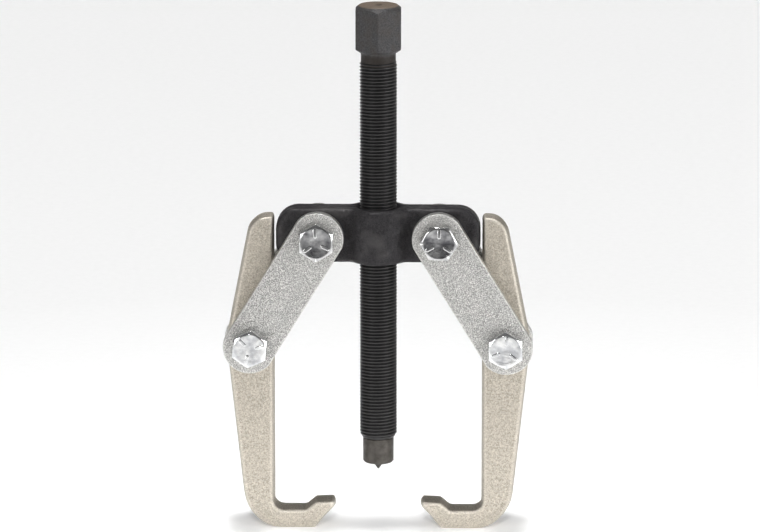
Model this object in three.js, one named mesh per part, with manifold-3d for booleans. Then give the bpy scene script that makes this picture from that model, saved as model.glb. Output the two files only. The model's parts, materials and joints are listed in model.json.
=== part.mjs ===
// Two-jaw gear puller, in millimetres, +Z up.
// The forcing screw lies on the Z axis and the two hooks stand on the plane z = 0.
// The front is towards -Y; the left jaw is on -X.
import * as THREE from 'three';
import { mergeVertices } from 'three/addons/utils/BufferGeometryUtils.js';
import Module from 'manifold-3d';

const wasm = await Module();
wasm.setup();

// ---------------------------------------------------------------- driving dimensions

const gap = 0.3;                 // clearance kept between neighbouring pieces
const plateHalf = 6.35;          // half thickness of the crossbar and of the jaws (1/2 in stock)
const strapThickness = 4.76;     // 3/16 in

const pivotUpper = { x: 26, z: 127 };
const pivotLower = { x: 54.3, z: 80.7 };
const strapAngle = Math.atan2(pivotLower.x - pivotUpper.x, pivotUpper.z - pivotLower.z);
const strapPitch = Math.hypot(pivotLower.x - pivotUpper.x, pivotUpper.z - pivotLower.z);

const bar = {
  halfLength: 43.4, bottom: 116.3, top: 139.8,
  topCorner: 9.5, bottomCorner: 8, edge: 1.2,
  hubRadius: 13.6, countersink: 1.4,
};

const strap = { halfWidth: 11.1, endRadius: 11.35, endOffset: 0.5, edge: 0.35 };

const screw = {
  threadRadius: 7.94, threadTop: 202.6, threadBottom: 41,   // 5/8-18 UNF
  neckRadius: 7.4, endBottom: 39.1, endRadius: 6.7,
  hexFlats: 19.05, hexBottom: 206.3, hexTop: 226.5,
  boreRadius: 4.3, boreTop: 48.8,
};

const point = {
  radius: 6.55, bottom: 28, chamfer: 0.6, stemRadius: 4, stemTop: 48.5, coneRadius: 2.5, coneEnd: 24.85,
};
const clip = { bottom: 43.75, height: 1.1, innerRadius: 3.5, outerRadius: 5, opening: 2 };

const bolt = {                   // 3/8-16 UNC, 9/16 in across the flats
  radius: 4.76, flats: 14.29, headHeight: 6, washerHeight: 0.4, washerRadius: 6.7,
  endY: 19.9, endChamfer: 0.8,
};
const nut = { hexHeight: 5.4, height: 7.6, collarRadius: 6.6, lipRadius: 5.4, grooveRadius: 6.2 };
const insert = { outerRadius: 5.9, height: 1.6 };

const jaw = {                    // x, or [x, z], of the right jaw's corners
  inner: 44.2, top: 136.3, shoulder: [54.1, 136.9], shoulderRadius: 9, bulge: [65, 81.7], bulgeRadius: 40,
  heel: 56, heelRadius: 16, footEnd: 27, tipLow: [18.3, 9], tipTop: [18, 12.4],
  lipTop: [26.9, 12], lipFoot: 31, throatFloor: 8.6, throatRadius: 4, edge: 0.8,
};

const roundSteps = 20;           // facets round a bolt, a nut or a pin
const screwSteps = 30;           // facets round the forcing screw

// ---------------------------------------------------------------- materials

const finishes = {
  blackOxide: { color: 0x2c2a2a, roughness: 0.55, metalness: 0.6 },
  blackForging: { color: 0x262526, roughness: 0.6, metalness: 0.4 },
  pointSteel: { color: 0x5a5650, roughness: 0.5, metalness: 0.7 },
  springSteel: { color: 0x8a8a86, roughness: 0.4, metalness: 0.9 },
  zincPlate: { color: 0xb9b8b4, roughness: 0.45, metalness: 0.8 },
  nickelPlate: { color: 0xc4bdb0, roughness: 0.5, metalness: 0.7 },
  zincBolt: { color: 0xc9cac8, roughness: 0.3, metalness: 0.9 },
  nylon: { color: 0xe8e6df, roughness: 0.6, metalness: 0 },
};

// ---------------------------------------------------------------- solids

function solid(geometry) {
  const bare = geometry.clone();
  bare.deleteAttribute('normal');
  bare.deleteAttribute('uv');
  const merged = mergeVertices(bare, 1e-4);
  return new wasm.Manifold(new wasm.Mesh({
    numProp: 3,
    vertProperties: new Float32Array(merged.attributes.position.array),
    triVerts: new Uint32Array(merged.index.array),
  }));
}

function geometryOf(body) {
  const mesh = body.getMesh();
  const geometry = new THREE.BufferGeometry();
  geometry.setAttribute('position', new THREE.BufferAttribute(mesh.vertProperties, 3));
  geometry.setIndex(new THREE.BufferAttribute(mesh.triVerts, 1));
  return geometry;
}

// A prism whose outline lies in the XZ plane, centred on y, with its edges broken by `edge`.
function plate(outline, centreY, halfThickness, edge, curveSegments) {
  const depth = 2 * (halfThickness - edge);
  const geometry = new THREE.ExtrudeGeometry(outline, {
    depth, curveSegments, bevelSegments: 1,
    bevelThickness: edge, bevelSize: edge, bevelOffset: -edge,
  });
  geometry.translate(0, 0, -depth / 2);
  geometry.rotateX(Math.PI / 2);
  geometry.translate(0, centreY, 0);
  return solid(geometry);
}

// A body of revolution about Z from [radius, height] points that start and end on the axis.
function turned(profile, steps = roundSteps) {
  const points = profile.map(([r, z]) => new THREE.Vector2(r, z));
  const geometry = new THREE.LatheGeometry(points, steps);
  geometry.rotateX(Math.PI / 2);
  return solid(geometry);
}

function rod(radius, low, high, steps = roundSteps) {
  return turned([[0, low], [radius, low], [radius, high], [0, high]], steps);
}

// A hole along Y through the whole depth of the puller.
function crossHole(x, z, radius) {
  const halfLength = 40;
  return solid(new THREE.CylinderGeometry(radius, radius, 2 * halfLength, roundSteps)).translate([x, 0, z]);
}

// A hexagonal prism on the Z axis with a corner towards +Y. Each end is { z, face, drop }: the radius
// of its flat face, and how far the cone round that face falls by the time it meets a corner.
function hexagon(flats, low, high) {
  const corner = flats / Math.sqrt(3);
  const outline = new THREE.Shape();
  for (let i = 0; i < 6; i += 1) {
    const angle = Math.PI / 2 + i * Math.PI / 3;
    outline[i ? 'lineTo' : 'moveTo'](corner * Math.cos(angle), corner * Math.sin(angle));
  }
  const prism = new THREE.ExtrudeGeometry(outline, { depth: high.z - low.z, bevelEnabled: false });
  prism.translate(0, 0, low.z);
  const wide = corner + 0.5;
  const fall = ({ face, drop }) => drop * (wide - face) / (corner - face);
  return solid(prism).intersect(turned([
    [0, low.z], [low.face, low.z], [wide, low.z + fall(low)],
    [wide, high.z - fall(high)], [high.face, high.z], [0, high.z],
  ], screwSteps));
}

// An outline from [x, y, radius] corners, each corner rounded by an arc of its radius.
function roundedOutline(corners) {
  const outline = new THREE.Shape();
  corners.forEach(([x, y, radius], i) => {
    const here = new THREE.Vector2(x, y);
    const toward = (other) => new THREE.Vector2(other[0] - x, other[1] - y).normalize();
    const back = toward(corners[(i + corners.length - 1) % corners.length]);
    const ahead = toward(corners[(i + 1) % corners.length]);
    const join = i ? 'lineTo' : 'moveTo';
    if (!radius) {
      outline[join](x, y);
      return;
    }
    const halfAngle = Math.acos(THREE.MathUtils.clamp(back.dot(ahead), -1, 1)) / 2;
    const bisector = back.clone().add(ahead).normalize();
    const centre = here.clone().addScaledVector(bisector, radius / Math.sin(halfAngle));
    const from = here.clone().addScaledVector(back, radius / Math.tan(halfAngle)).sub(centre);
    const to = here.clone().addScaledVector(ahead, radius / Math.tan(halfAngle)).sub(centre);
    outline[join](centre.x + from.x, centre.y + from.y);
    outline.absarc(centre.x, centre.y, radius, from.angle(), to.angle(), from.cross(to) < 0);
  });
  outline.closePath();
  return outline;
}

// ---------------------------------------------------------------- pieces

function crossbar() {
  const { halfLength, bottom, top, topCorner, bottomCorner, edge, hubRadius, countersink } = bar;
  const beam = plate(roundedOutline([
    [-halfLength, bottom, bottomCorner], [halfLength, bottom, bottomCorner],
    [halfLength, top, topCorner], [-halfLength, top, topCorner],
  ]), 0, plateHalf, edge, 5);
  const hub = turned([
    [0, bottom], [hubRadius - edge, bottom], [hubRadius, bottom + edge],
    [hubRadius, top - edge], [hubRadius - edge, top], [0, top],
  ], screwSteps);
  const bore = screw.threadRadius + gap;
  const wide = bore + countersink;
  const threadedHole = turned([
    [0, bottom - 1], [wide + 1, bottom - 1], [bore, bottom + countersink],
    [bore, top - countersink], [wide + 1, top + 1], [0, top + 1],
  ], screwSteps);
  return beam.add(hub).subtract(threadedHole)
    .subtract(crossHole(-pivotUpper.x, pivotUpper.z, bolt.radius + gap))
    .subtract(crossHole(pivotUpper.x, pivotUpper.z, bolt.radius + gap));
}

// A side strap, drawn upright with its upper hole at the origin, then leaned out by the strap angle.
function strapPlate(side, face) {
  const { halfWidth, endRadius, endOffset, edge } = strap;
  const reach = Math.acos(halfWidth / endRadius);
  const outline = new THREE.Shape();
  outline.absarc(0, endOffset, endRadius, reach, Math.PI - reach, false);
  outline.absarc(0, -strapPitch - endOffset, endRadius, Math.PI + reach, 2 * Math.PI - reach, false);
  outline.closePath();
  const lean = THREE.MathUtils.radToDeg(-side * strapAngle);
  const centreY = face * (plateHalf + gap + strapThickness / 2);
  return plate(outline, centreY, strapThickness / 2, edge, 8)
    .rotate([0, lean, 0]).translate([side * pivotUpper.x, 0, pivotUpper.z])
    .subtract(crossHole(side * pivotUpper.x, pivotUpper.z, bolt.radius + gap))
    .subtract(crossHole(side * pivotLower.x, pivotLower.z, bolt.radius + gap));
}

// A hook jaw: a straight arm down to a foot that turns inward and ends in a raised lip.
function jawForging(side) {
  const j = jaw;
  const corners = [
    [j.inner, j.top, 1.2], [...j.shoulder, j.shoulderRadius], [...j.bulge, j.bulgeRadius],
    [j.heel, 0, j.heelRadius], [j.footEnd, 0, 1.5], [...j.tipLow, 1.2], [...j.tipTop, 1.6],
    [...j.lipTop, 2], [j.lipFoot, j.throatFloor, 2], [j.inner, j.throatFloor, j.throatRadius],
  ];
  const place = ([x, z, radius]) => [side * x, z, radius];
  return plate(roundedOutline(corners.map(place)), 0, plateHalf, j.edge, 5)
    .subtract(crossHole(side * pivotLower.x, pivotLower.z, bolt.radius + gap));
}

function forcingScrew() {
  const s = screw;
  const grooveLow = clip.bottom - gap;
  const grooveHigh = clip.bottom + clip.height + gap;
  const grooveRadius = clip.outerRadius + gap;
  const shank = turned([
    [0, s.boreTop], [s.boreRadius, s.boreTop], [s.boreRadius, grooveHigh], [grooveRadius, grooveHigh],
    [grooveRadius, grooveLow], [s.boreRadius, grooveLow], [s.boreRadius, s.endBottom],
    [s.endRadius, s.endBottom], [s.threadRadius, s.threadBottom], [s.threadRadius, s.threadTop],
    [s.neckRadius, s.threadTop + 0.9], [s.neckRadius, s.hexBottom + 1], [0, s.hexBottom + 1],
  ], screwSteps);
  return shank.add(hexagon(
    s.hexFlats, { z: s.hexBottom, face: 8, drop: 1.9 }, { z: s.hexTop, face: 8.1, drop: 2.2 },
  ));
}

function screwPoint() {
  const p = point;
  const shoulder = screw.endBottom - gap;
  const grooveRadius = clip.innerRadius - gap;
  return turned([
    [0, p.coneEnd], [0.3, p.coneEnd], [p.coneRadius, p.bottom],
    [p.radius - p.chamfer, p.bottom], [p.radius, p.bottom + p.chamfer], [p.radius, shoulder],
    [p.stemRadius, shoulder], [p.stemRadius, clip.bottom - gap], [grooveRadius, clip.bottom - gap],
    [grooveRadius, clip.bottom + clip.height + gap], [p.stemRadius, clip.bottom + clip.height + gap],
    [p.stemRadius, p.stemTop], [0, p.stemTop],
  ]);
}

function pointClip() {
  const top = clip.bottom + clip.height;
  const opening = new THREE.BoxGeometry(clip.opening, 2 * clip.outerRadius, 2 * clip.height);
  opening.translate(0, clip.outerRadius, clip.bottom + clip.height / 2);
  return rod(clip.outerRadius, clip.bottom, top)
    .subtract(rod(clip.innerRadius, clip.bottom - 1, top + 1))
    .subtract(solid(opening));
}

// Turns a solid built on the Z axis so that its +Z end points along `face` on the Y axis.
function alongY(body, face, twist, { x, z }, side) {
  return body.rotate([0, 0, twist]).rotate([face < 0 ? 90 : -90, 0, 0]).translate([side * x, 0, z]);
}

const bearing = plateHalf + gap + strapThickness + gap;   // distance from mid-plane to a bolt head

function pivotBolt(side, pivot, twist) {
  const head = hexagon(
    bolt.flats, { z: bearing + bolt.washerHeight, face: bolt.flats / 2, drop: 0 },
    { z: bearing + bolt.headHeight, face: 6.6, drop: 0.9 },
  );
  const washerFace = rod(bolt.washerRadius, bearing, bearing + 1);
  const shank = turned([
    [0, -bolt.endY], [bolt.radius - bolt.endChamfer, -bolt.endY],
    [bolt.radius, bolt.endChamfer - bolt.endY], [bolt.radius, bearing + 1], [0, bearing + 1],
  ]);
  return alongY(head.add(washerFace).add(shank), -1, twist, pivot, side);
}

function lockNut(side, pivot, twist) {
  const end = bearing + nut.height;
  const grooveHigh = end - 0.5;
  const grooveLow = grooveHigh - insert.height - 2 * gap;
  const bore = bolt.radius + gap;
  const chamfer = { face: 6.85, drop: 0.8 };
  const body = hexagon(bolt.flats, { z: bearing, ...chamfer }, { z: bearing + nut.hexHeight, ...chamfer })
    .add(turned([
      [0, bearing + 1], [nut.collarRadius, bearing + 1], [nut.collarRadius, end - 0.7],
      [nut.collarRadius - 0.7, end], [0, end],
    ]));
  const cavity = turned([
    [0, bearing - 1], [bore, bearing - 1], [bore, grooveLow], [nut.grooveRadius, grooveLow],
    [nut.grooveRadius, grooveHigh], [nut.lipRadius, grooveHigh], [nut.lipRadius, end + 1], [0, end + 1],
  ]);
  return alongY(body.subtract(cavity), 1, twist, pivot, side);
}

function nylonInsert(side, pivot) {
  const high = bearing + nut.height - 0.5 - gap;
  const low = high - insert.height;
  const ring = rod(insert.outerRadius, low, high).subtract(rod(bolt.radius + gap, low - 1, high + 1));
  return alongY(ring, 1, 0, pivot, side);
}

// ---------------------------------------------------------------- the puller

const puller = new THREE.Group();

function put(name, body, finish) {
  const mesh = new THREE.Mesh(geometryOf(body), new THREE.MeshStandardMaterial(finishes[finish]));
  mesh.name = name;
  puller.add(mesh);
}

put('crossbar', crossbar(), 'blackForging');
put('forcing_screw', forcingScrew(), 'blackOxide');
put('screw_point', screwPoint(), 'pointSteel');
put('point_clip', pointClip(), 'springSteel');

const sides = { left: -1, right: 1 };
const twists = {                 // how far each bolt head and nut was left turned, in degrees
  upper_left: [0, 17], upper_right: [28, 48], lower_left: [-5, 31], lower_right: [2, 9],
};

for (const [name, side] of Object.entries(sides)) {
  put(`strap_${name}_front`, strapPlate(side, -1), 'zincPlate');
  put(`strap_${name}_rear`, strapPlate(side, 1), 'zincPlate');
  put(`jaw_${name}`, jawForging(side), 'nickelPlate');
  for (const [level, pivot] of Object.entries({ upper: pivotUpper, lower: pivotLower })) {
    const [boltTwist, nutTwist] = twists[`${level}_${name}`];
    put(`bolt_${level}_${name}`, pivotBolt(side, pivot, boltTwist), 'zincBolt');
    put(`nut_${level}_${name}`, lockNut(side, pivot, nutTwist), 'zincBolt');
    put(`insert_${level}_${name}`, nylonInsert(side, pivot), 'nylon');
  }
}

export default puller;
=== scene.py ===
"""A two-jaw gear puller standing on its hooks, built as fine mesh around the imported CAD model."""

import json
import math

import bmesh
import bpy
import numpy as np
from mathutils import Matrix, Vector


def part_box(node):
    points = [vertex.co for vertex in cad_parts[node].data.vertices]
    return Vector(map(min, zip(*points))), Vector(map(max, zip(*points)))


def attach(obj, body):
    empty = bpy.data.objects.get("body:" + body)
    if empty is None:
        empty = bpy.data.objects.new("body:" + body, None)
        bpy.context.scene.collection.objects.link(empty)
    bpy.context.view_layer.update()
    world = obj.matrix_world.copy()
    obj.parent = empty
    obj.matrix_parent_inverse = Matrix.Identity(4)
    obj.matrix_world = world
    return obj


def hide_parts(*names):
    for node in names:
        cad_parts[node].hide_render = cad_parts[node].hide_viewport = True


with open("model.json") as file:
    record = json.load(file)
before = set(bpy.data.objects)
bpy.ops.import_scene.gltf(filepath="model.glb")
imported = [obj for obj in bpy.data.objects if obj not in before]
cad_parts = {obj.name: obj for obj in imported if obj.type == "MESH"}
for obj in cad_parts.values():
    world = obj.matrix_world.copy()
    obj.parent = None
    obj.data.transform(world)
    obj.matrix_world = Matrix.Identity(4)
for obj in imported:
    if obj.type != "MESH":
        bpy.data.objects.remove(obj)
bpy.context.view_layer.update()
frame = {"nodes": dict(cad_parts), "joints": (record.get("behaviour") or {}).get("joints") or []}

MM = 0.001
TURN = 2 * math.pi

# ---------------------------------------------------------------- places, from the frame


def joint_place(name):
    joint = next(j for j in frame["joints"] if j["name"] == name)
    return np.array(joint["pos_m"])


def node_box(name):
    low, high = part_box(name)
    return np.array(low), np.array(high)


SIDES = {"left": -1, "right": 1}
PIVOT = {
    ("upper", name): joint_place(f"{name}_link_pivot") for name in SIDES
} | {("lower", name): joint_place(f"{name}_jaw_pivot") for name in SIDES}
LINK_BODY = {"upper": "crossbar", "lower": "{}_link"}

BAR_LOW, BAR_HIGH = node_box("crossbar")
JAW_HIGH = node_box("jaw_right")[1]
SCREW_LOW, SCREW_HIGH = node_box("forcing_screw")
POINT_LOW, POINT_HIGH = node_box("screw_point")
CLIP_LOW, CLIP_HIGH = node_box("point_clip")
BOLT_LOW, BOLT_HIGH = node_box("bolt_upper_left")
NUT_LOW, NUT_HIGH = node_box("nut_upper_left")
INSERT_LOW, INSERT_HIGH = node_box("insert_upper_left")

# ---------------------------------------------------------------- sizes, in metres

THREAD_RADIUS = 7.92 * MM          # 5/8-18 UNF
THREAD_PITCH = 25.4 / 18 * MM
BOLT_RADIUS = 4.72 * MM            # 3/8-16 UNC
BOLT_PITCH = 25.4 / 16 * MM
HEX_FLATS = 19.05 * MM
BOLT_FLATS = 14.29 * MM
NUT_HEX_HEIGHT = 5.4 * MM
THREAD_DEPTH = 0.6                 # of the pitch
STRAP_HALF_WIDTH = 11.1 * MM
STRAP_END_RADIUS = 11.35 * MM
STRAP_END_OFFSET = 0.5 * MM        # from each hole outwards to the centre of the end's arc
FORGING_CELL = 0.6 * MM            # mesh size of the forged pieces
HOLE_RADIUS = 4.95 * MM            # bolt holes of straps, jaws and crossbar
PLATE_HALF = JAW_HIGH[1]
ROUND = 96                         # points round a turned piece

# ---------------------------------------------------------------- mesh helpers


def make_piece(name, verts, faces, material, body, nodes=(),
               smooth_below=38, weighted=True):
    """One object, smooth shaded below an edge angle, riding on its body and standing for its CAD nodes."""
    mesh = bpy.data.meshes.new(name)
    mesh.from_pydata([tuple(v) for v in verts], [], [tuple(f) for f in faces])
    bm = bmesh.new()
    bm.from_mesh(mesh)
    bmesh.ops.remove_doubles(bm, verts=bm.verts, dist=2e-7)
    bmesh.ops.dissolve_degenerate(bm, edges=bm.edges, dist=1e-7)
    bmesh.ops.recalc_face_normals(bm, faces=bm.faces)
    bm.to_mesh(mesh)
    bm.free()
    mesh.shade_smooth()
    mesh.set_sharp_from_angle(angle=math.radians(smooth_below))
    piece = bpy.data.objects.new(name, mesh)
    bpy.context.scene.collection.objects.link(piece)
    mesh.materials.append(material)
    if weighted:
        modifier = piece.modifiers.new("normals", "WEIGHTED_NORMAL")
        modifier.keep_sharp = True
        modifier.weight = 90
    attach(piece, body)
    if nodes:
        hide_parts(*nodes)
    return piece


class Shell:
    """Collects rings of points and the faces between them."""

    def __init__(self):
        self.verts, self.faces = [], []

    def ring(self, points):
        start = len(self.verts)
        self.verts.extend(np.asarray(points, float))
        return list(range(start, len(self.verts)))

    def bridge(self, a, b):
        count = len(a)
        for i in range(count):
            j = (i + 1) % count
            self.faces.append((a[i], a[j], b[j], b[i]))

    def cap(self, ring):
        centre = len(self.verts)
        self.verts.append(np.mean([self.verts[i] for i in ring], axis=0))
        for i in range(len(ring)):
            self.faces.append((ring[i], ring[(i + 1) % len(ring)], centre))

    def stack(self, rings):
        """Rings joined one after another, capped at both ends."""
        made = [self.ring(r) for r in rings]
        for a, b in zip(made, made[1:]):
            self.bridge(a, b)
        self.cap(made[0])
        self.cap(made[-1])

    def loop(self, rings):
        """Rings joined one after another, and the last one to the first."""
        made = [self.ring(r) for r in rings]
        for a, b in zip(made, made[1:] + made[:1]):
            self.bridge(a, b)

    def add(self, other):
        start = len(self.verts)
        self.verts.extend(other.verts)
        self.faces.extend(tuple(i + start for i in f) for f in other.faces)

    def moved(self, matrix):
        m = np.array(matrix)
        self.verts = list(np.array(self.verts) @ m[:3, :3].T + m[:3, 3])
        return self


def circle(radius, z, count=ROUND):
    angle = np.arange(count) / count * TURN
    return np.stack([radius * np.cos(angle), radius * np.sin(angle), np.full(count, z)], 1)


def softened(profile, radius, steps=3):
    """[r, z] points with every inner corner of the profile rounded by about `radius`."""
    points = [np.array(p, float) for p in profile]
    out = [points[0]]
    for before, here, after in zip(points, points[1:], points[2:]):
        back, ahead = before - here, after - here
        reach = min(radius, np.linalg.norm(back) * 0.45, np.linalg.norm(ahead) * 0.45)
        start = here + back / np.linalg.norm(back) * reach
        end = here + ahead / np.linalg.norm(ahead) * reach
        for t in np.linspace(0, 1, steps + 1):
            out.append((1 - t) ** 2 * start + 2 * t * (1 - t) * here + t * t * end)
    out.append(points[-1])
    return out


def turned(profile, count=ROUND, soften=0.0):
    """A body of revolution about Z, from [r, z] points in metres."""
    shell = Shell()
    points = softened(profile, soften) if soften else profile
    rings = [circle(r, z, count) for r, z in points if r > 1e-9]
    shell.stack(rings)
    for end, ring_index in ((points[0], 0), (points[-1], -1)):
        if end[0] <= 1e-9:
            centre = len(shell.verts) - (2 if ring_index == 0 else 1)
            shell.verts[centre] = np.array([0, 0, end[1]])
    return shell


def hexagon(flats, low, high, low_cone, high_cone, hollow=0.0, dish=0.0, dimple=0.0,
            corner_round=0.15 * MM):
    """A hexagonal prism on Z with a corner at +Y. A cone, (face radius, fall at a corner), trims an end
    to the scalloped chamfer of a turned head, and None leaves the end square."""
    sixth = TURN / 6
    corner = flats / math.sqrt(3)
    beside = corner_round / corner
    round_corner = [-beside * 2, -beside, 0, beside, beside * 2]
    within = np.concatenate([round_corner, np.linspace(beside * 4, sixth - beside * 4, 21)])
    angle = np.sort((TURN / 4 + np.add.outer(np.arange(6) * sixth, within).ravel()) % TURN)
    from_flat = (angle - TURN / 4) % sixth - sixth / 2
    reach = np.minimum(flats / 2 / np.cos(from_flat), corner - corner_round * 0.35)
    count = len(angle)

    def level(radius, z):
        radius = np.broadcast_to(radius, (count,))
        return np.stack([radius * np.cos(angle), radius * np.sin(angle), np.broadcast_to(z, (count,))], 1)

    soft = 0.1 * MM

    def end(z, inward, cone):
        """Levels from the middle of an end out to the side; inward is the sign of z into the solid."""
        if not cone:
            return [level(reach - soft * k, z + inward * soft * d) for k, d in ((1, 0), (0.3, 0.3), (0, 1))]
        face, fall = cone
        drop = np.maximum(reach - face, 0) * fall / (corner - face)
        rows = [level(face * t, z + inward * dish * (1 - t)) for t in (0.4, 0.8, 0.93)]
        rows += [level(face - soft, z), level(face + soft, z + inward * soft * 0.5)]
        rim = ((1, -0.4), (0.3, 0.3), (0, 1.2))
        return rows + [level(reach - soft * k, z + inward * (drop + soft * d)) for k, d in rim]

    rows = end(high, -1, high_cone) + end(low, 1, low_cone)[::-1]
    if dimple:
        pit = ((0.12, 1.1), (0.9, 0.2), (1.0, 0.04), (1.15, 0))
        rows = [level(dimple * t, high - dimple * d) for t, d in pit] + rows
    shell = Shell()
    if hollow:
        inside = [level(hollow, low + soft * 2), level(hollow, high - soft * 2)]
        rows = [row for row in rows if np.hypot(row[0, 0], row[0, 1]) > hollow + soft]
        shell.loop(rows + inside)
    else:
        shell.stack(rows)
    return shell


def helix(radius, pitch, low, high, limit, bore=(), count=72):
    """A right-hand thread as one sheared grid, so that crests and roots run along its rows.
    limit(z) gives the least and greatest radius allowed at a height, for run-outs and chamfers; bore is the
    [r, z] profile of a blind hole in the low end."""
    depth = THREAD_DEPTH * pitch
    # phase of each row in one pitch, and its height from root (0) to crest (1)
    profile = [
        (0.0, 0.0), (0.09, 0.03), (0.17, 0.2), (0.40, 0.95), (0.45, 1.0),
        (0.55, 1.0), (0.60, 0.95), (0.83, 0.2), (0.91, 0.03),
    ]
    turns = int((high - low) / pitch) + 3
    angle = np.arange(count) / count * TURN
    rows = []
    for turn in range(-1, turns):
        for phase, height in profile:
            z = low + pitch * (turn + phase + angle / TURN)
            r = np.full(count, radius - depth * (1 - height))
            z = np.clip(z, low, high)
            least, greatest = limit(z)
            r = np.clip(r, least, greatest)
            rows.append(np.stack([r * np.cos(angle), r * np.sin(angle), z], 1))
    shell = Shell()
    made = [shell.ring(r) for r in rows]
    per_turn = len(profile)
    for k in range(len(made) - 1):
        a, b = made[k], made[k + 1]
        for i in range(count - 1):
            shell.faces.append((a[i], a[i + 1], b[i + 1], b[i]))
    for k in range(len(made) - per_turn - 1):
        a, b = made[k], made[k + 1]
        c, d = made[k + per_turn], made[k + per_turn + 1]
        shell.faces.append((a[-1], c[0], d[0], b[-1]))
    hole = [shell.ring(circle(r, z, count)) for r, z in [(limit(np.array([low]))[1][0], low), *bore]]
    for a, b in zip(hole, hole[1:]):
        shell.bridge(a, b)
    shell.cap(hole[-1])
    shell.cap(shell.ring(circle(limit(np.array([high]))[0][0], high, count)))
    return shell


# ---------------------------------------------------------------- smooth solids from distance fields


def surface_net(field, low, high, cell):
    """The zero surface of a distance field as quads, with every point then drawn onto the surface."""
    axes = [np.arange(a - 2 * cell, b + 3 * cell, cell) for a, b in zip(low, high)]
    grid = np.stack(np.meshgrid(*axes, indexing="ij"), -1)
    value = field(grid.reshape(-1, 3)).reshape(grid.shape[:3])
    inside = value < 0
    corner = [(i, j, k) for i in (0, 1) for j in (0, 1) for k in (0, 1)]
    size = [n - 1 for n in value.shape]

    def at(array, offset):
        return array[tuple(slice(o, o + n) for o, n in zip(offset, size))]

    total = np.zeros(size + [3])
    number = np.zeros(size)
    for a in corner:
        for axis in range(3):
            if a[axis]:
                continue
            b = tuple(1 if i == axis else v for i, v in enumerate(a))
            va, vb = at(value, a), at(value, b)
            crossed = (va < 0) != (vb < 0)
            t = np.where(crossed, va / np.where(crossed, va - vb, 1), 0)
            place = at(grid, a) + t[..., None] * (at(grid, b) - at(grid, a))
            total += place * crossed[..., None]
            number += crossed
    used = number > 0
    index = np.full(size, -1)
    index[used] = np.arange(used.sum())
    verts = total[used] / number[used][:, None]
    faces = []
    for axis in range(3):
        u, v = (axis + 1) % 3, (axis + 2) % 3
        a = inside[tuple(slice(1, -1) if i != axis else slice(0, -1) for i in range(3))]
        b = inside[tuple(slice(1, -1) if i != axis else slice(1, None) for i in range(3))]
        for first, second in ((a & ~b, False), (b & ~a, True)):
            cells = np.argwhere(first) + np.array([1 if i != axis else 0 for i in range(3)])
            quad = []
            for du, dv in ((0, 0), (-1, 0), (-1, -1), (0, -1)):
                c = cells.copy()
                c[:, u] += du
                c[:, v] += dv
                quad.append(index[tuple(c.T)])
            quad = np.stack(quad[::-1] if second else quad, 1)
            faces.append(quad)
    faces = np.concatenate(faces)
    step = cell * 0.05
    for _ in range(3):
        distance = field(verts)
        slope = np.stack([
            (field(verts + d) - field(verts - d)) / (2 * step) for d in np.eye(3) * step
        ], 1)
        length = np.maximum((slope ** 2).sum(1), 0.2)
        verts -= np.clip(distance / length, -cell / 2, cell / 2)[:, None] * slope
    return verts, faces


def rounded_outline(corners, steps=8):
    """Points of an outline whose [x, z, radius] corners are rounded by arcs."""
    out = []
    count = len(corners)
    for i, (x, z, radius) in enumerate(corners):
        here = np.array([x, z])
        back = np.array(corners[i - 1][:2]) - here
        ahead = np.array(corners[(i + 1) % count][:2]) - here
        back, ahead = back / np.linalg.norm(back), ahead / np.linalg.norm(ahead)
        half = math.acos(np.clip(back @ ahead, -1, 1)) / 2
        middle = (back + ahead) / np.linalg.norm(back + ahead)
        centre = here + middle * radius / math.sin(half)
        start = here + back * radius / math.tan(half) - centre
        end = here + ahead * radius / math.tan(half) - centre
        sweep = math.atan2(start[0] * end[1] - start[1] * end[0], start @ end)
        for t in np.linspace(0, 1, steps + 1):
            c, s = math.cos(sweep * t), math.sin(sweep * t)
            out.append(centre + np.array([c * start[0] - s * start[1], s * start[0] + c * start[1]]))
    return np.array(out)


def outline_distance(outline, x, z):
    """Signed distance in the XZ plane to a closed outline, negative inside."""
    best = np.full(x.shape, 1e9)
    inside = np.zeros(x.shape, bool)
    for (ax, az), (bx, bz) in zip(outline, np.roll(outline, -1, 0)):
        ex, ez = bx - ax, bz - az
        px, pz = x - ax, z - az
        t = np.clip((px * ex + pz * ez) / (ex * ex + ez * ez), 0, 1)
        best = np.minimum(best, (px - t * ex) ** 2 + (pz - t * ez) ** 2)
        crossing = (az > z) != (bz > z)
        if ez:
            inside ^= crossing & (px < pz * ex / ez)
    return np.where(inside, -1, 1) * np.sqrt(best)


def both(a, b, radius):
    """Where two fields overlap, with the edge between them rounded."""
    u, v = a + radius, b + radius
    return np.minimum(np.maximum(u, v), 0) + np.hypot(np.maximum(u, 0), np.maximum(v, 0)) - radius


def either(a, b, width):
    """Two fields joined with a fillet of about that width."""
    h = np.maximum(width - np.abs(a - b), 0) / width
    return np.minimum(a, b) - h * h * width / 4


# ---------------------------------------------------------------- materials


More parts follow.
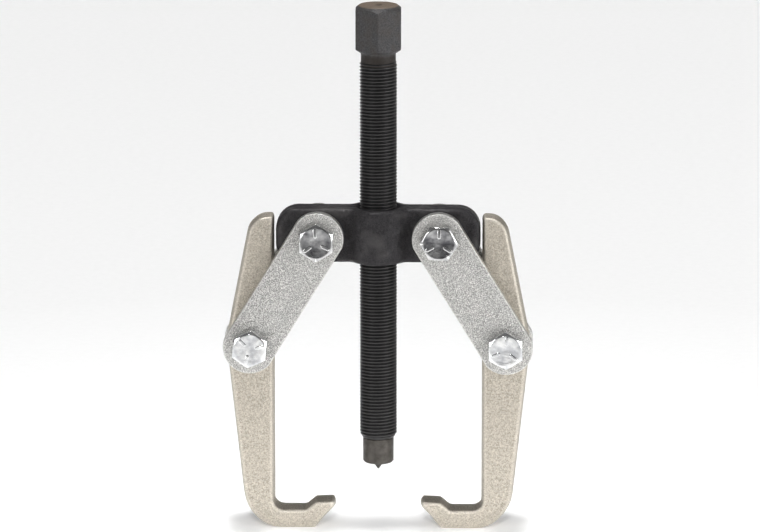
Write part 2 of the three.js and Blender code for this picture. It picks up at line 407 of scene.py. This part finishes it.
class Nodes:
    """A material's node tree, with short calls for the nodes used here."""

    def __init__(self, name):
        self.material = bpy.data.materials.new(name)
        self.material.use_nodes = True
        self.tree = self.material.node_tree
        self.shader = self.tree.nodes["Principled BSDF"]
        self.place = self.node("ShaderNodeTexCoord").outputs["Object"]

    def node(self, kind, **settings):
        made = self.tree.nodes.new(kind)
        for key, value in settings.items():
            setattr(made, key, value)
        return made

    def link(self, source, socket):
        self.tree.links.new(source, socket)

    def stretched(self, scale):
        made = self.node("ShaderNodeMapping")
        made.inputs["Scale"].default_value = scale
        self.link(self.place, made.inputs["Vector"])
        return made.outputs["Vector"]

    def noise(self, size, detail, roughness=0.55, place=None):
        """Noise whose features are about `size` metres across."""
        made = self.node("ShaderNodeTexNoise")
        made.inputs["Scale"].default_value = 1 / size
        made.inputs["Detail"].default_value = detail
        made.inputs["Roughness"].default_value = roughness
        self.link(place or self.place, made.inputs["Vector"])
        return made.outputs["Fac"]

    def cells(self, size):
        made = self.node("ShaderNodeTexVoronoi")
        made.inputs["Scale"].default_value = 1 / size
        self.link(self.place, made.inputs["Vector"])
        return made.outputs["Distance"]

    def ramp(self, source, stops):
        made = self.node("ShaderNodeValToRGB")
        elements = made.color_ramp.elements
        while len(elements) < len(stops):
            elements.new(0.5)
        for element, (position, value) in zip(elements, stops):
            element.position = position
            element.color = (*value, 1)
        self.link(source, made.inputs["Fac"])
        return made.outputs["Color"]

    def mix(self, factor, a, b):
        """Color a where the factor is 0 and b where it is 1; each is a constant or a socket."""
        made = self.node("ShaderNodeMix", data_type="RGBA")
        self.link(factor, next(s for s in made.inputs if s.name == "Factor" and s.type == "VALUE"))
        for socket, value in zip((s for s in made.inputs if s.type == "RGBA"), (a, b)):
            if isinstance(value, tuple):
                socket.default_value = (*value, 1)
            else:
                self.link(value, socket)
        return next(s for s in made.outputs if s.type == "RGBA")

    def span(self, source, low, high, to_low, to_high):
        made = self.node("ShaderNodeMapRange")
        for key, value in zip(("From Min", "From Max", "To Min", "To Max"), (low, high, to_low, to_high)):
            made.inputs[key].default_value = value
        self.link(source, made.inputs["Value"])
        return made.outputs["Result"]

    def bump(self, height, distance, strength, over=None):
        made = self.node("ShaderNodeBump")
        made.inputs["Strength"].default_value = strength
        made.inputs["Distance"].default_value = distance
        self.link(height, made.inputs["Height"])
        if over is not None:
            self.link(over, made.inputs["Normal"])
        return made.outputs["Normal"]

    def edges(self):
        """1 on convex edges, 0.5 on flat surfaces: used for painted highlights on rims, with some wear, and
        for painted shade in thread roots.
        """
        return self.node("ShaderNodeNewGeometry").outputs["Pointiness"]

    def finish(self, color, roughness, normal=None, metallic=1.0, specular=0.5):
        s = self.shader.inputs
        self.link(color, s["Base Color"])
        if isinstance(roughness, (int, float)):
            s["Roughness"].default_value = roughness
        else:
            self.link(roughness, s["Roughness"])
        s["Metallic"].default_value = metallic
        s["Specular IOR Level"].default_value = specular
        if normal is not None:
            self.link(normal, s["Normal"])
        return self.material


def zinc_plate():
    """Matt zinc over grit-blasted strip: sparkling fine grain, with a painted highlight along the arrises.
    """
    n = Nodes("zinc_plate")
    grain = n.noise(0.46 * MM, 3, 0.85)
    fine = n.noise(0.3 * MM, 1, 0.5)
    broad = n.noise(9 * MM, 3)
    color = n.ramp(grain, [
        (0.42, (0.11, 0.108, 0.103)), (0.51, (0.38, 0.374, 0.360)), (0.60, (0.88, 0.866, 0.835)),
    ])
    color = n.mix(n.span(broad, 0.35, 0.7, 0.0, 0.25), color, (0.45, 0.45, 0.44))
    # painted highlight: the convex arrises are brightened towards near white
    color = n.mix(n.span(n.edges(), 0.51, 0.56, 0, 0.8), color, (0.92, 0.91, 0.88))
    normal = n.bump(grain, 0.22 * MM, 1.0)
    normal = n.bump(fine, 0.05 * MM, 0.8, over=normal)
    return n.finish(color, n.span(grain, 0.3, 0.7, 0.50, 0.34), normal)


def nickel_forging():
    """Matt nickel over a shot-blasted forging, warm in tone, with worn edges brightened further as a
    painted highlight.
    """
    n = Nodes("nickel_forging")
    grain = n.noise(0.55 * MM, 3, 0.8)
    blasted = n.cells(0.9 * MM)
    broad = n.noise(14 * MM, 3)
    color = n.ramp(grain, [(0.36, (0.34, 0.306, 0.258)), (0.66, (0.73, 0.680, 0.590))])
    color = n.mix(n.span(broad, 0.35, 0.7, 0.0, 0.3), color, (0.54, 0.49, 0.42))
    # painted highlight over wear: convex edges brightened towards pale nickel
    color = n.mix(n.span(n.edges(), 0.51, 0.56, 0, 0.6), color, (0.90, 0.86, 0.78))
    normal = n.bump(grain, 0.16 * MM, 1.0)
    normal = n.bump(blasted, 0.07 * MM, 0.6, over=normal)
    return n.finish(color, n.span(grain, 0.3, 0.7, 0.64, 0.48), normal)


def zinc_fastener(name, dull, bright, edge_highlight):
    """Zinc plate on bolts and nuts, over a cold-headed surface that is not quite flat."""
    n = Nodes(name)
    cloud = n.noise(4.0 * MM, 2)
    fine = n.noise(0.4 * MM, 2)
    color = n.ramp(cloud, [(0.3, dull), (0.7, bright)])
    # painted highlight: convex edges and chamfer corners brightened towards near white
    color = n.mix(n.span(n.edges(), 0.51, 0.56, 0, edge_highlight), color, (0.93, 0.93, 0.92))
    normal = n.bump(cloud, 0.30 * MM, 0.8)
    normal = n.bump(fine, 0.03 * MM, 0.5, over=normal)
    return n.finish(color, n.span(fine, 0.3, 0.7, 0.22, 0.12), normal)


def black_forging():
    """Black oxide over a forged skin, slightly lumpy."""
    n = Nodes("black_forging")
    grain = n.noise(0.5 * MM, 3, 0.65)
    lumps = n.noise(6 * MM, 2)
    broad = n.noise(12 * MM, 2)
    color = n.ramp(grain, [(0.3, (0.018, 0.017, 0.019)), (0.75, (0.058, 0.055, 0.057))])
    color = n.mix(n.span(broad, 0.48, 0.64, 0.0, 0.6), color, (0.080, 0.076, 0.076))
    normal = n.bump(lumps, 2.0 * MM, 0.8)
    normal = n.bump(grain, 0.07 * MM, 0.7, over=normal)
    return n.finish(color, n.span(lumps, 0.35, 0.65, 0.58, 0.36), normal, metallic=0.2, specular=0.13)


def black_oxide_steel():
    """Oiled black oxide on a rolled thread: painted shade in the roots, painted highlights on the crests,
    faint turning marks.
    """
    n = Nodes("black_oxide_steel")
    turning = n.noise(0.22 * MM, 2, 0.6, place=n.stretched((0.08, 0.08, 1)))
    mottle = n.noise(0.7 * MM, 3, 0.65)
    color = n.ramp(mottle, [(0.3, (0.016, 0.016, 0.017)), (0.7, (0.036, 0.035, 0.036))])
    # painted highlight on the thread crests
    color = n.mix(n.span(n.edges(), 0.50, 0.60, 0, 0.9), color, (0.135, 0.132, 0.130))
    # painted shade in the thread roots
    color = n.mix(n.span(n.edges(), 0.42, 0.49, 0.8, 0), color, (0.004, 0.004, 0.004))
    normal = n.bump(turning, 0.02 * MM, 0.5)
    normal = n.bump(mottle, 0.03 * MM, 0.5, over=normal)
    return n.finish(color, n.span(mottle, 0.3, 0.7, 0.42, 0.30), normal, metallic=0.5)


def browned_oxide():
    """The thin, slightly rusted oxide on the screw's head and neck, with painted light on the head's top
    face and painted shade on the neck under the head.
    """
    n = Nodes("browned_oxide")
    mottle = n.noise(0.6 * MM, 3, 0.7)
    cloud = n.noise(5 * MM, 3)
    height = n.node("ShaderNodeSeparateXYZ")
    n.link(n.place, height.inputs["Vector"])
    color = n.ramp(mottle, [(0.28, (0.034, 0.033, 0.033)), (0.72, (0.098, 0.097, 0.101))])
    color = n.mix(n.span(cloud, 0.42, 0.7, 0, 0.45), color, (0.072, 0.058, 0.047))
    # the head's top face painted lighter and browner: painted light from above over the oxide's own brown
    top = n.span(height.outputs["Z"], SCREW_HIGH[2] - 0.5 * MM, SCREW_HIGH[2] - 0.1 * MM, 0, 0.85)
    color = n.mix(top, color, (0.235, 0.180, 0.135))
    # painted shade: the neck under the head darkened
    neck = n.span(height.outputs["Z"], SCREW_HIGH[2] - 22 * MM, SCREW_HIGH[2] - 19.8 * MM, 0.85, 0)
    color = n.mix(neck, color, (0.030, 0.024, 0.020))
    normal = n.bump(mottle, 0.12 * MM, 0.9)
    return n.finish(color, n.span(mottle, 0.3, 0.7, 0.66, 0.50), normal, metallic=0.3, specular=0.3)


def bare_steel():
    """Hardened point: brownish grey turned steel."""
    n = Nodes("bare_steel")
    turning = n.noise(0.16 * MM, 2, 0.6, place=n.stretched((0.05, 0.05, 1)))
    cloud = n.noise(3 * MM, 3)
    color = n.mix(n.span(cloud, 0.35, 0.7, 0, 1), (0.060, 0.054, 0.048), (0.112, 0.103, 0.092))
    normal = n.bump(turning, 0.03 * MM, 0.6)
    return n.finish(color, n.span(turning, 0.3, 0.7, 0.42, 0.52), normal, metallic=0.7)


def spring_steel():
    n = Nodes("spring_steel")
    drawn = n.noise(0.3 * MM, 2)
    color = n.ramp(drawn, [(0.3, (0.30, 0.30, 0.29)), (0.7, (0.42, 0.42, 0.41))])
    return n.finish(color, n.span(drawn, 0.3, 0.7, 0.25, 0.4), n.bump(drawn, 0.01 * MM, 0.5))


def nylon():
    n = Nodes("nylon")
    cloud = n.noise(1.2 * MM, 2)
    color = n.ramp(cloud, [(0.3, (0.72, 0.70, 0.64)), (0.7, (0.86, 0.85, 0.80))])
    made = n.finish(color, n.span(cloud, 0.3, 0.7, 0.45, 0.6), n.bump(cloud, 0.03 * MM, 0.4), metallic=0.0)
    n.shader.inputs["Subsurface Weight"].default_value = 0.15
    n.shader.inputs["Subsurface Radius"].default_value = (0.001, 0.001, 0.0008)
    return made


def studio_floor():
    n = Nodes("studio_floor")
    paper = n.noise(4 * MM, 3)
    color = n.ramp(paper, [(0.3, (0.86, 0.86, 0.86)), (0.7, (0.885, 0.885, 0.885))])
    n.shader.inputs["Emission Color"].default_value = (1, 1, 1, 1)
    away = n.node("ShaderNodeVectorMath", operation="LENGTH")
    n.link(n.place, away.inputs[0])
    shadow_lifting_glow = n.span(away.outputs["Value"], 0.12, 0.45, 0.22, 0.06)      # a glow in the floor round the object lifts its cast shadows: painted light
    n.link(shadow_lifting_glow, n.shader.inputs["Emission Strength"])
    return n.finish(color, 0.9, metallic=0.0, specular=0.1)


# ---------------------------------------------------------------- camera, light and floor

CAMERA_DISTANCE = 2.5
CAMERA_ELEVATION = math.radians(12.5)
CAMERA_AZIMUTH = math.radians(1.5)   # towards +X
CAMERA_LENS = 278.3                # mm, on a 36 mm wide frame
AIM = Vector((0.7 * MM, 0, 113.7 * MM))


def make_camera():
    data = bpy.data.cameras.new("camera")
    camera = bpy.data.objects.new("camera", data)
    bpy.context.scene.collection.objects.link(camera)
    data.sensor_width = 36
    data.lens = CAMERA_LENS
    data.clip_start, data.clip_end = 0.05, 50
    level = math.cos(CAMERA_ELEVATION)
    back = Vector((
        level * math.sin(CAMERA_AZIMUTH), -level * math.cos(CAMERA_AZIMUTH), math.sin(CAMERA_ELEVATION)
    ))
    camera.location = AIM + back * CAMERA_DISTANCE
    camera.rotation_mode = "QUATERNION"
    camera.rotation_quaternion = (-back).to_track_quat("-Z", "Y")
    bpy.context.scene.camera = camera


def area_light(name, place, target, size, power, spread=180):
    data = bpy.data.lights.new(name, "AREA")
    data.shape = "RECTANGLE"
    data.size, data.size_y = size
    data.energy = power
    data.spread = math.radians(spread)
    lamp = bpy.data.objects.new(name, data)
    bpy.context.scene.collection.objects.link(lamp)
    lamp.location = place
    lamp.rotation_mode = "QUATERNION"
    lamp.rotation_quaternion = (Vector(target) - Vector(place)).to_track_quat("-Z", "Y")


def make_studio():
    """A bright pool of paper under a wide overhead bank, with soft boxes to either side of the camera."""
    scene = bpy.context.scene
    scene.view_settings.view_transform = "Standard"
    world = bpy.data.worlds.new("studio")
    scene.world = world
    world.use_nodes = True
    background = world.node_tree.nodes["Background"]
    background.inputs["Color"].default_value = (1, 1, 1, 1)
    background.inputs["Strength"].default_value = 0.17
    reach = 12.0
    mesh = bpy.data.meshes.new("studio_floor")
    corners = [(-reach, -reach, 0), (reach, -reach, 0), (reach, reach, 0), (-reach, reach, 0)]
    mesh.from_pydata(corners, [], [(0, 1, 2, 3)])
    mesh.materials.append(studio_floor())
    floor = bpy.data.objects.new("studio_floor", mesh)
    scene.collection.objects.link(floor)
    area_light("overhead_bank", (0, 0.93, 1.6), (0, 0.93, 0), (3.4, 2.84), 22.5, spread=12)
    area_light("right_box", (1.5, -1.0, 0.45), (0, 0, 0.12), (0.8, 0.9), 15)
    area_light("left_box", (-1.2, -1.2, 0.45), (0, 0, 0.10), (0.7, 0.7), 7)
    area_light("low_front_box", (0, -0.9, 0.5), (0, -0.1, 0), (0.6, 0.12), 0.17, spread=10)


# ---------------------------------------------------------------- pieces


def make_screw(material, head_material):
    """The forcing screw: real helical thread, chamfered end, turned neck and chamfered hexagon."""
    hex_low = SCREW_HIGH[2] - 20.2 * MM
    end = SCREW_LOW[2]
    neck_radius = 7.4 * MM
    thread_end = 202.6 * MM
    low_chamfer = 1.9 * MM
    end_radius = 6.7 * MM
    root = THREAD_RADIUS - THREAD_DEPTH * THREAD_PITCH

    def limit(z):
        rise = np.clip((z - end) / low_chamfer, 0, 1)
        greatest = end_radius + (THREAD_RADIUS - end_radius) * rise
        fade = np.clip((z - thread_end + 1.2 * MM) / (1.2 * MM), 0, 1)
        least = root * (1 - fade) + neck_radius * fade
        least = np.minimum(least, greatest)
        return least, np.maximum(greatest * (1 - fade) + neck_radius * fade, least)

    bore, groove = 4.3 * MM, CLIP_HIGH[0] + 0.3 * MM
    groove_low, groove_high = CLIP_LOW[2] - 0.3 * MM, CLIP_HIGH[2] + 0.3 * MM
    hole = [
        (bore + 0.3 * MM, end), (bore, end + 0.3 * MM), (bore, groove_low), (groove, groove_low),
        (groove, groove_high), (bore, groove_high), (bore, POINT_HIGH[2] + 0.3 * MM),
    ]
    shank = helix(THREAD_RADIUS, THREAD_PITCH, end, thread_end, limit, bore=hole)
    make_piece("screw_thread", shank.verts, shank.faces, material, "forcing_screw", ["forcing_screw"],
               smooth_below=50, weighted=False)
    neck = turned([
        (0, thread_end - 2 * MM), (neck_radius, thread_end - 2 * MM), (neck_radius, hex_low - 0.5 * MM),
        (neck_radius + 0.4 * MM, hex_low + 0.1 * MM), (neck_radius + 0.4 * MM, hex_low + 2 * MM),
        (0, hex_low + 2 * MM),
    ], soften=0.3 * MM)
    make_piece("screw_neck", neck.verts, neck.faces, head_material, "forcing_screw")
    head = hexagon(HEX_FLATS, hex_low, SCREW_HIGH[2], (8.0 * MM, 1.9 * MM), (8.1 * MM, 2.2 * MM),
                   dimple=1.7 * MM, corner_round=0.35 * MM)
    make_piece("screw_hex_head", head.verts, head.faces, head_material, "forcing_screw",
               smooth_below=16)


def make_point(material):
    """The swivelling centre point, with a stem that is grooved for the clip."""
    low = POINT_LOW[2]
    base = low + 3.15 * MM
    top = SCREW_LOW[2] - 0.15 * MM
    radius = POINT_HIGH[0]
    stem, groove = 4.0 * MM, 3.2 * MM
    groove_low, groove_high = CLIP_LOW[2] - 0.2 * MM, CLIP_HIGH[2] + 0.2 * MM
    body = turned([
        (0, low), (0.25 * MM, low), (2.5 * MM, base), (radius - 0.75 * MM, base), (radius, base + 0.7 * MM),
        (radius, top - 0.35 * MM), (radius - 0.35 * MM, top), (stem, top), (stem, groove_low),
        (groove, groove_low), (groove, groove_high), (stem, groove_high),
        (stem, POINT_HIGH[2] - 0.4 * MM), (3.6 * MM, POINT_HIGH[2]), (0, POINT_HIGH[2]),
    ], soften=0.2 * MM)
    make_piece("centre_point", body.verts, body.faces, material, "screw_point", ["screw_point"])


def jaw_outline(side):
    """The jaw's side view: u runs in mm from its pivot towards the screw, and w runs up."""
    pivot = PIVOT["lower", "right" if side > 0 else "left"]
    foot = -pivot[2] / MM
    top = JAW_HIGH[2] / MM - pivot[2] / MM
    inner = 10.1
    corners = [
        (inner, top, 1.2), (0.2, top + 0.6, 9), (-10.7, 1, 40), (-1.7, foot, 16),
        (27.3, foot, 1.5), (36.0, foot + 9.0, 1.2), (36.3, foot + 12.4, 1.6),
        (27.4, foot + 12.0, 2), (23.3, foot + 8.6, 2), (inner, foot + 8.6, 4),
    ]
    place = [(side * (abs(pivot[0]) - u * MM), pivot[2] + w * MM, r * MM) for u, w, r in corners]
    return rounded_outline(place)


def make_jaw(name, side, material):
    """A forged hook jaw, drafted from its mid plane to both faces."""
    outline = jaw_outline(side)
    pivot = PIVOT["lower", name]
    draft = math.tan(math.radians(7))
    edge = 1.2 * MM

    def field(p):
        x, y, z = p.T
        drafted = draft * np.clip(z / (5 * MM), 0, 1) * np.abs(y)     # the foot is ground square
        sides = outline_distance(outline, x, z) + drafted
        solid = both(sides, np.abs(y) - PLATE_HALF, edge)
        hole = HOLE_RADIUS - np.hypot(x - pivot[0], z - pivot[2])
        return np.maximum(solid, hole)

    low, high = node_box(f"jaw_{name}")
    verts, faces = surface_net(field, low, high, FORGING_CELL)
    make_piece(f"hook_jaw_{name}", verts, faces, material, f"{name}_jaw", [f"jaw_{name}"],
               smooth_below=60, weighted=False)


def make_crossbar(material):
    """The forged yoke: a flat bar that swells into a threaded hub."""
    middle = (BAR_LOW[2] + BAR_HIGH[2]) / 2
    outline = rounded_outline([
        (BAR_LOW[0], BAR_LOW[2], 8 * MM), (BAR_HIGH[0], BAR_LOW[2], 8 * MM),
        (BAR_HIGH[0], BAR_HIGH[2], 9.5 * MM), (BAR_LOW[0], BAR_HIGH[2], 9.5 * MM),
    ])
    hub = 13.4 * MM
    edge = 2.6 * MM
    bore = THREAD_RADIUS + 0.1 * MM
    countersink = 1.5 * MM

    def field(p):
        x, y, z = p.T
        across = either(np.abs(y) - PLATE_HALF, np.hypot(x, y) - hub, 2.4 * MM)
        along = outline_distance(outline, x, z)
        solid = both(across, along, edge)
        mouth = np.maximum(np.abs(z - middle) - (BAR_HIGH[2] - BAR_LOW[2]) / 2 + countersink, 0)
        solid = np.maximum(solid, (bore + mouth - np.hypot(x, y)) * 0.75)
        for name in SIDES:
            pivot = PIVOT["upper", name]
            solid = np.maximum(solid, HOLE_RADIUS - np.hypot(x - pivot[0], z - pivot[2]))
        return solid

    verts, faces = surface_net(field, BAR_LOW, BAR_HIGH, FORGING_CELL)
    make_piece("forged_crossbar", verts, faces, material, "crossbar", ["crossbar"],
               smooth_below=60, weighted=False)


def strap_outline(inset, count=28):
    """A strap's outline in its own plane, upper hole at the origin, drawn in by `inset`."""
    half, radius, offset = STRAP_HALF_WIDTH - inset, STRAP_END_RADIUS - inset, STRAP_END_OFFSET
    pitch = np.linalg.norm(PIVOT["upper", "right"] - PIVOT["lower", "right"])
    reach = math.acos(half / radius)
    upper = np.linspace(reach, math.pi - reach, count)
    lower = np.linspace(math.pi + reach, TURN - reach, count)
    top = np.stack([radius * np.cos(upper), offset + radius * np.sin(upper)], 1)
    bottom = np.stack([radius * np.cos(lower), -pitch - offset + radius * np.sin(lower)], 1)
    return np.concatenate([top, bottom])


def make_strap(name, face, material):
    """A blanked plate: rounded arrises on the outline, broken edges at the holes."""
    upper, lower = PIVOT["upper", name], PIVOT["lower", name]
    down = (lower - upper) / np.linalg.norm(lower - upper)
    across = np.array([-down[2], 0, down[0]])
    node = f"strap_{name}_{'front' if face < 0 else 'rear'}"
    near, far = (corner[1] for corner in node_box(node))
    arris = 0.65 * MM

    def lay(points, y):
        flat = np.asarray(points)
        out = upper + flat[:, :1] * across - flat[:, 1:] * down
        out[:, 1] = y
        return out

    turns = np.linspace(0, math.pi / 2, 4)
    pitch = np.linalg.norm(lower - upper)
    angle = np.arange(48) / 48 * TURN
    ring = np.stack([np.cos(angle), np.sin(angle)], 1)
    bm = bmesh.new()

    def loop(points, y):
        return [bm.verts.new(v) for v in lay(points, y)]

    def wall(levels):
        made = [loop(points, y) for points, y in levels]
        for a, b in zip(made, made[1:]):
            for i in range(len(a)):
                j = (i + 1) % len(a)
                bm.faces.new((a[i], a[j], b[j], b[i]))
        return made[0], made[-1]

    def arrised(shape):
        """Levels from near to far face, with quarter-round arrises; shape(inset) gives the loop."""
        front = [(shape(arris * (1 - math.sin(t))), near + arris * (1 - math.cos(t))) for t in turns]
        rear = [(shape(arris * (1 - math.sin(t))), far - arris * (1 - math.cos(t))) for t in turns[::-1]]
        return front + rear

    ends = [wall(arrised(strap_outline))]
    for centre in (0, -pitch):
        ends.append(wall(arrised(lambda inset: ring * (HOLE_RADIUS + inset) + (0, centre))))
    for which in (0, 1):
        edges = set()
        for pair in ends:
            loop_verts = pair[which]
            for i, v in enumerate(loop_verts):
                edges.add(bm.edges.get((v, loop_verts[(i + 1) % len(loop_verts)])))
        bmesh.ops.triangle_fill(bm, edges=list(edges), use_beauty=True)
    bm.verts.index_update()
    verts = [v.co[:] for v in bm.verts]
    faces = [[v.index for v in f.verts] for f in bm.faces]
    bm.free()
    make_piece(f"side_{node}", verts, faces, material, f"{name}_link", [node])


def pointing(face, twist, place):
    """Turns a piece built on +Z so that it points along face on Y, at a pivot."""
    spin = Matrix.Rotation(twist, 4, "Z")
    lay = Matrix.Rotation(math.pi / 2 if face < 0 else -math.pi / 2, 4, "X")
    return Matrix.Translation((place[0], 0, place[2])) @ lay @ spin


def grade_mark(angle, top):
    """One raised radial line on a bolt head."""
    shell = Shell()
    inner, outer, half, height = 2.7 * MM, 6.0 * MM, 0.7 * MM, 0.23 * MM
    levels = (
        (0, top - 0.4 * MM), (0, top + height * 0.55),
        (0.12 * MM, top + height * 0.9), (0.3 * MM, top + height),
    )
    rows = []
    for shrink, z in levels:
        x0, x1, w = inner + shrink, outer - shrink, half - shrink
        bulge = w * 0.6
        rows.append([
            (x0, -w, z), (x1, -w, z), (x1 + bulge, 0, z), (x1, w, z), (x0, w, z), (x0 - bulge, 0, z),
        ])
    shell.stack(rows)
    return shell.moved(Matrix.Rotation(angle, 4, "Z"))


def make_bolt(level, name, twist, marks, material):
    """A hex-head bolt: head with washer face and three raised marks, thread, and plain shank."""
    body = LINK_BODY[level].format(name)
    bearing = NUT_LOW[1]
    face = -BOLT_LOW[1] - 0.25 * MM        # the raised marks reach the rest of the way
    dish = (0.5 if level == "upper" else 0.12) * MM        # the lower heads are flatter
    matrix = pointing(-1, twist, PIVOT[level, name])
    head = hexagon(BOLT_FLATS, bearing + 0.45 * MM, face, None, (6.6 * MM, 0.9 * MM), dish=dish)
    washer_top = bearing + 0.6 * MM
    washer = [(0, bearing), (6.75 * MM, bearing), (6.85 * MM, washer_top), (0, washer_top)]
    head.add(turned(washer, soften=0.12 * MM))
    for k in range(3):
        head.add(grade_mark(marks + k * TURN / 3, face))
    head.moved(matrix)
    make_piece(f"bolt_head_{level}_{name}", head.verts, head.faces, material, body,
               [f"bolt_{level}_{name}"])
    end = -BOLT_HIGH[1]
    plain = 4 * MM

    def limit(z):
        rise = np.clip((z - end) / (1.0 * MM), 0, 1)
        greatest = BOLT_RADIUS - 0.9 * MM + 0.9 * MM * rise
        fade = np.clip((z - plain + 1 * MM) / (1 * MM), 0, 1)
        least = (BOLT_RADIUS - THREAD_DEPTH * BOLT_PITCH) * (1 - fade) + BOLT_RADIUS * fade
        return np.minimum(least, greatest), greatest

    thread = helix(BOLT_RADIUS, BOLT_PITCH, end, plain, limit, count=48).moved(matrix)
    make_piece(f"bolt_thread_{level}_{name}", thread.verts, thread.faces, material, body,
               smooth_below=50, weighted=False)
    low, high = plain - 1 * MM, bearing + 0.3 * MM
    shank = turned([(0, low), (BOLT_RADIUS, low), (BOLT_RADIUS, high), (0, high)], 48).moved(matrix)
    make_piece(f"bolt_shank_{level}_{name}", shank.verts, shank.faces, material, body)


def make_nut(level, name, twist, material, plastic):
    """A lock nut with a collar, and the nylon ring held in the collar's groove."""
    body = LINK_BODY[level].format(name)
    bearing, end = NUT_LOW[1], NUT_HIGH[1]
    bore = HOLE_RADIUS
    matrix = pointing(1, twist, PIVOT[level, name])
    cone = (6.85 * MM, 0.8 * MM)
    nut = hexagon(BOLT_FLATS, bearing, bearing + NUT_HEX_HEIGHT, cone, cone, hollow=bore)
    groove_low, groove_high = INSERT_LOW[1] - 0.1 * MM, INSERT_HIGH[1] + 0.1 * MM
    lip, groove, outer = 5.4 * MM, 5.95 * MM, 6.6 * MM
    profile = [
        (bore, bearing + 4.5 * MM), (outer, bearing + 4.5 * MM), (outer, end - 1.0 * MM),
        (outer - 0.35 * MM, end - 0.25 * MM), (outer - 0.9 * MM, end), (lip, end), (lip, groove_high),
        (groove, groove_high), (groove, groove_low), (bore, groove_low),
    ]
    collar = Shell()
    collar.loop([circle(r, z) for r, z in profile])
    nut.add(collar)
    nut.moved(matrix)
    make_piece(f"lock_nut_{level}_{name}", nut.verts, nut.faces, material, body,
               [f"nut_{level}_{name}"])
    inner, outer = BOLT_RADIUS + 0.05 * MM, 5.9 * MM
    low, high = INSERT_LOW[1], INSERT_HIGH[1]
    soft = 0.25 * MM
    profile = [
        (inner, low + soft), (inner + soft, low), (outer - soft, low), (outer, low + soft),
        (outer, high - soft), (outer - soft, high), (inner + soft * 2, high), (inner, high - soft),
    ]
    ring = Shell()
    ring.loop([circle(r, z, 64) for r, z in profile])
    ring.moved(matrix)
    make_piece(f"nylon_ring_{level}_{name}", ring.verts, ring.faces, plastic, body,
               [f"insert_{level}_{name}"])


# ---------------------------------------------------------------- the scene

make_camera()
make_studio()

ZINC = zinc_plate()
NICKEL = nickel_forging()
# one zinc in two copies: darker for the upper fasteners as painted shade, near white for the lower ones as
# painted light, as the floor's light reaches them
BRIGHT = {
    "upper": zinc_fastener("zinc_fastener_painted_shade", (0.14, 0.14, 0.15), (0.55, 0.55, 0.55), 0.95),
    "lower": zinc_fastener("zinc_fastener_painted_light", (0.52, 0.53, 0.55), (0.92, 0.92, 0.91), 0.4),
}
NYLON = nylon()

make_crossbar(black_forging())
make_screw(black_oxide_steel(), browned_oxide())
make_point(bare_steel())
frame["nodes"]["point_clip"].data.materials.clear()
frame["nodes"]["point_clip"].data.materials.append(spring_steel())

BOLT_TWIST = {  # degrees: bolt head, first grade mark, nut
    ("upper", "left"): (0, 95, 17), ("upper", "right"): (28, 60, 48),
    ("lower", "left"): (-5, 20, 31), ("lower", "right"): (2, 80, 9),
}
for side_name, sign in SIDES.items():
    make_jaw(side_name, sign, NICKEL)
    make_strap(side_name, -1, ZINC)
    make_strap(side_name, 1, ZINC)
    for level_name in ("upper", "lower"):
        head, mark, nut = (math.radians(v) for v in BOLT_TWIST[level_name, side_name])
        make_bolt(level_name, side_name, head, mark, BRIGHT[level_name])
        make_nut(level_name, side_name, nut, BRIGHT[level_name], NYLON)
